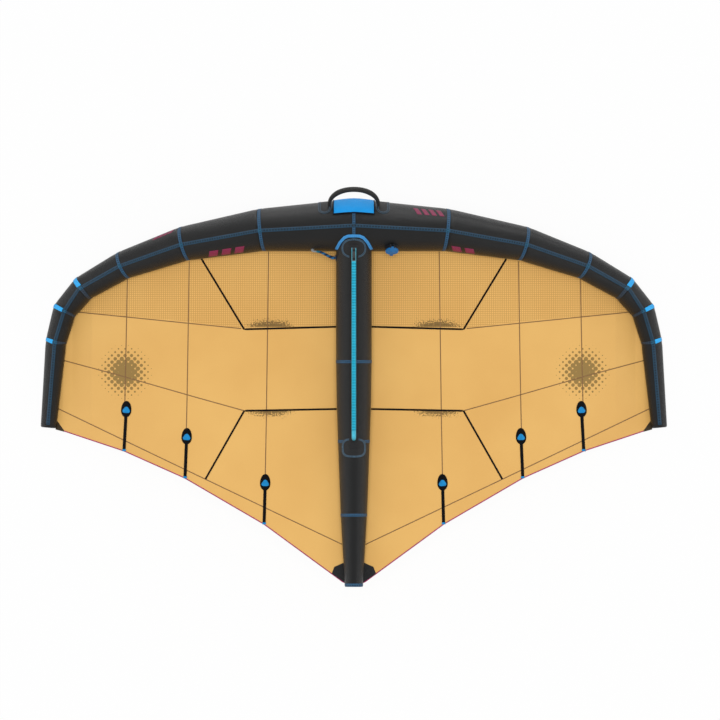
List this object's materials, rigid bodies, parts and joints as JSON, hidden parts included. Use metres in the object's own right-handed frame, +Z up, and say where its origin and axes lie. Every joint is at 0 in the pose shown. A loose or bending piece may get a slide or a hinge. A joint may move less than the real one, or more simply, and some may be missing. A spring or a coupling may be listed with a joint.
{
  "type": "wingfoil wing",
  "caption": "Hand-held inflatable foiling wing: arched air-filled leading edge and centre strut under a stretched cloth canopy, with a rigid grip boom, front handle, valve and hose.",
  "frame": {"origin": "centre of the footprint, on the ground, with the wing parked upside down on its two tips", "axes": "+X along the span, to the right in the picture; +Y forward, towards the leading edge; +Z up, towards the side that holds the strut and the boom"},
  "size_m": [3.0662, 1.961, 0.5491],
  "materials": {
    "casing": "charcoal woven polyester, matt",
    "canopy": "amber ripstop cloth, satin",
    "bladder": "clear blue-tinted film",
    "hem": "magenta cord tape",
    "batten": "black moulded, satin",
    "webbing": "black webbing",
    "pad": "sky blue neoprene-faced cushion",
    "boom": "turquoise moulded grip",
    "fitting": "black moulded",
    "pin": "stainless pin",
    "valve_insert": "pale grey moulded",
    "valve_cap": "sky blue moulded",
    "hose": "sky blue hose",
    "hose_fitting": "pale grey moulded"
  },
  "bodies": {
    "wing": {"batten_left_1": "batten", "batten_left_2": "batten", "batten_left_3": "batten", "batten_right_1": "batten", "batten_right_2": "batten", "batten_right_3": "batten", "boom_front_bracket": "fitting", "boom_pivot_pin": "pin", "boom_rear_saddle": "fitting", "canopy_front_left_1": "canopy", "canopy_front_left_2": "canopy", "canopy_front_left_3": "canopy", "canopy_front_left_4": "canopy", "canopy_front_right_1": "canopy", "canopy_front_right_2": "canopy", "canopy_front_right_3": "canopy", "canopy_front_right_4": "canopy", "canopy_rear_left_1": "canopy", "canopy_rear_left_2": "canopy", "canopy_rear_left_3": "canopy", "canopy_rear_left_4": "canopy", "canopy_rear_right_1": "canopy", "canopy_rear_right_2": "canopy", "canopy_rear_right_3": "canopy", "canopy_rear_right_4": "canopy", "front_handle_anchor_left": "webbing", "front_handle_anchor_right": "webbing", "front_handle_pad": "pad", "hose_elbow": "hose_fitting", "hose_strut_port": "hose_fitting", "inflation_hose": "hose", "le_bladder": "bladder", "le_panel_left_1": "casing", "le_panel_left_2": "casing", "le_panel_left_3": "casing", "le_panel_left_4": "casing", "le_panel_left_5": "casing", "le_panel_left_6": "casing", "le_panel_right_1": "casing", "le_panel_right_2": "casing", "le_panel_right_3": "casing", "le_panel_right_4": "casing", "le_panel_right_5": "casing", "le_panel_right_6": "casing", "le_tip_left": "casing", "le_tip_right": "casing", "strut_bladder": "bladder", "strut_panel_1": "casing", "strut_panel_2": "casing", "strut_panel_3": "casing", "strut_panel_4": "casing", "trailing_edge_hem": "hem", "valve_base": "fitting"},
    "boom": {"boom_fork": "boom", "boom_grip": "boom", "boom_rear_leg": "boom"},
    "handle": {"front_handle": "webbing"},
    "valve_plug": {"valve_insert": "valve_insert"},
    "valve_lid": {"valve_cap": "valve_cap"}
  },
  "joints": [
    {"name": "boom_swing", "type": "hinge", "parent": "wing", "child": "boom", "pos_m": [0, 0.66854, 0.53657], "axis": [-1, 0, 0], "range_deg": [0, 60]},
    {"name": "handle_swing", "type": "hinge", "parent": "wing", "child": "handle", "pos_m": [0, 0.88915, 0.44269], "axis": [1, 0, 0], "range_deg": [-35, 35], "stiffness_Nm_per_rad": 2},
    {"name": "valve_turn", "type": "hinge", "parent": "wing", "child": "valve_plug", "pos_m": [0.18571, 0.67015, 0.4224], "axis": [0.0408, -0.8682, 0.4945], "range_deg": [0, 45]},
    {"name": "valve_cap_swing", "type": "hinge", "parent": "wing", "child": "valve_lid", "pos_m": [0.18911, 0.6826, 0.45774], "axis": [-0.9956, 0.0065, 0.0935], "range_deg": [0, 110]}
  ]
}
